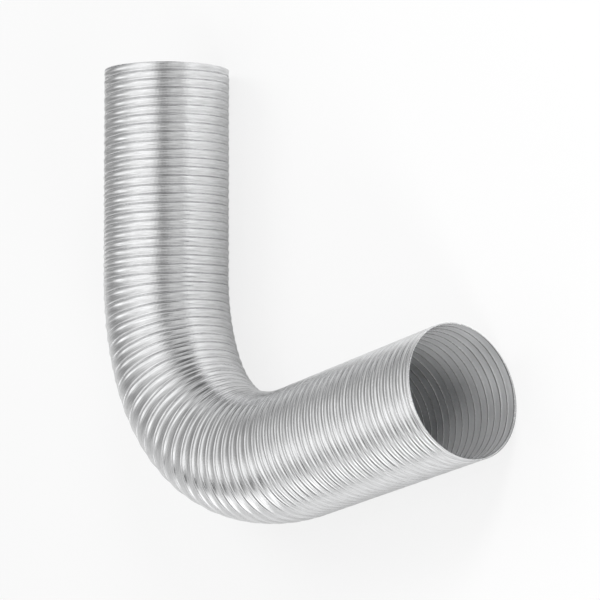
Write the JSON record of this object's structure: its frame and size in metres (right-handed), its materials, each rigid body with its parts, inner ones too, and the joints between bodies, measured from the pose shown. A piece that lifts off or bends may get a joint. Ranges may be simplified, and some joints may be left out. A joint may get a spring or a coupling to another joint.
{
  "type": "flexible aluminium duct",
  "caption": "Semi-rigid corrugated aluminium air duct, spirally folded from strip and bent into an open L, with plain cut ends that slide over round spigots.",
  "frame": {"origin": "on the inlet run's axis, at the middle of its first fold's groove, 7.4 mm inside the cut end", "axes": "-X out of the inlet's mouth along its axis, +Z square to the bend's plane and up as the duct lies on its side, +Y to the side the bend turns towards"},
  "size_m": [0.4682, 0.531, 0.1295],
  "materials": {
    "duct_aluminium": "satin"
  },
  "bodies": {
    "root": {"duct": "duct_aluminium"}
  },
  "joints": []
}
